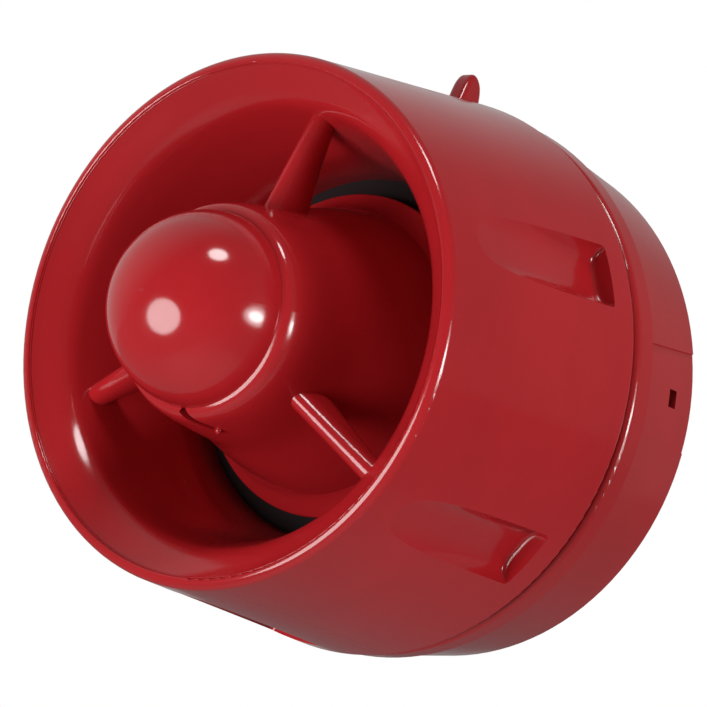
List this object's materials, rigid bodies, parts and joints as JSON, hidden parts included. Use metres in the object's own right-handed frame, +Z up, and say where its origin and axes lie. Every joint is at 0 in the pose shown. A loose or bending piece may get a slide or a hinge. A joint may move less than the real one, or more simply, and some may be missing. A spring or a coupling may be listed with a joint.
{
  "type": "alarm siren",
  "caption": "Round wall-mounted alarm siren: flared horn head with a central dome on spokes, twisting onto a deep mounting base.",
  "frame": {"origin": "centre of the back face of the base, where it meets the wall, on the horn axis", "axes": "+Y into the wall along the horn axis, -Y out of the horn mouth, +Z up, +X right as seen from the front"},
  "size_m": [0.116, 0.1084, 0.1249],
  "materials": {
    "red_abs": "gloss",
    "red_abs_base": "gloss",
    "black_rubber": "matte",
    "foam_rubber": "matte",
    "black_plastic": "satin",
    "natural_plastic": "satin",
    "blue_plastic": "satin",
    "white_plastic": "satin",
    "green_terminal": "satin",
    "board_green": "solder mask",
    "zinc_steel": "zinc plated",
    "ferrite": "dark sintered",
    "brass": "satin",
    "copper_winding": "enamelled",
    "aluminium_can": "satin",
    "diaphragm_film": "translucent film",
    "chip_black": "matte"
  },
  "bodies": {
    "base": {"mounting_base": "red_abs_base", "wall_gasket": "foam_rubber", "terminal_block": "green_terminal", "terminal_clamps": "brass", "terminal_screws": "zinc_steel", "contact_springs": "brass", "block_screws": "zinc_steel"},
    "latch": {"locking_latch": "natural_plastic"},
    "cone": {"diaphragm": "diaphragm_film", "voice_coil": "copper_winding"},
    "volume": {"volume_rotor": "white_plastic"},
    "switch_1": {"switch_slider_1": "white_plastic"},
    "switch_2": {"switch_slider_2": "white_plastic"},
    "switch_3": {"switch_slider_3": "white_plastic"},
    "switch_4": {"switch_slider_4": "white_plastic"},
    "switch_5": {"switch_slider_5": "white_plastic"},
    "switch_6": {"switch_slider_6": "white_plastic"},
    "head": {"horn_housing": "red_abs", "horn_flare": "red_abs", "horn_core": "red_abs", "dome_cap": "red_abs", "throat_plate": "black_plastic", "throat_screws": "zinc_steel", "driver_gasket": "black_rubber", "driver_frame": "black_plastic", "driver_top_plate": "zinc_steel", "driver_magnet": "ferrite", "driver_back_plate": "zinc_steel", "driver_screws": "zinc_steel", "driver_leads": "copper_winding", "rear_chassis": "black_plastic", "chassis_screws": "zinc_steel", "head_seal": "black_rubber", "circuit_board": "board_green", "board_screws": "zinc_steel", "switch_bank": "blue_plastic", "volume_control": "blue_plastic", "capacitors": "aluminium_can", "transformer_core": "ferrite", "transformer_winding": "copper_winding", "control_chips": "chip_black", "power_transistors": "chip_black", "contact_blades": "brass"}
  },
  "joints": [
    {"name": "head_twist", "type": "hinge", "parent": "base", "child": "head", "pos_m": [0, 0, 0], "axis": [0, -1, 0], "range_deg": [0, 20]},
    {"name": "latch_press", "type": "hinge", "parent": "base", "child": "latch", "pos_m": [0.0486, -0.0046, 0], "axis": [0, 0, -1], "range_deg": [0, 7], "stiffness_Nm_per_rad": 0.8},
    {"name": "diaphragm_stroke", "type": "slide", "parent": "head", "child": "cone", "axis": [0, -1, 0], "range_m": [-0.0004, 0.0004], "stiffness_N_per_m": 3000},
    {"name": "volume_turn", "type": "hinge", "parent": "head", "child": "volume", "pos_m": [0.014, -0.0144, -0.024], "axis": [0, 1, 0], "range_deg": [-135, 135]},
    {"name": "switch_1_slide", "type": "slide", "parent": "head", "child": "switch_1", "axis": [0, 0, 1], "range_m": [0, 0.0012]},
    {"name": "switch_2_slide", "type": "slide", "parent": "head", "child": "switch_2", "axis": [0, 0, 1], "range_m": [0, 0.0012]},
    {"name": "switch_3_slide", "type": "slide", "parent": "head", "child": "switch_3", "axis": [0, 0, 1], "range_m": [0, 0.0012]},
    {"name": "switch_4_slide", "type": "slide", "parent": "head", "child": "switch_4", "axis": [0, 0, 1], "range_m": [0, 0.0012]},
    {"name": "switch_5_slide", "type": "slide", "parent": "head", "child": "switch_5", "axis": [0, 0, 1], "range_m": [0, 0.0012]},
    {"name": "switch_6_slide", "type": "slide", "parent": "head", "child": "switch_6", "axis": [0, 0, 1], "range_m": [0, 0.0012]}
  ]
}
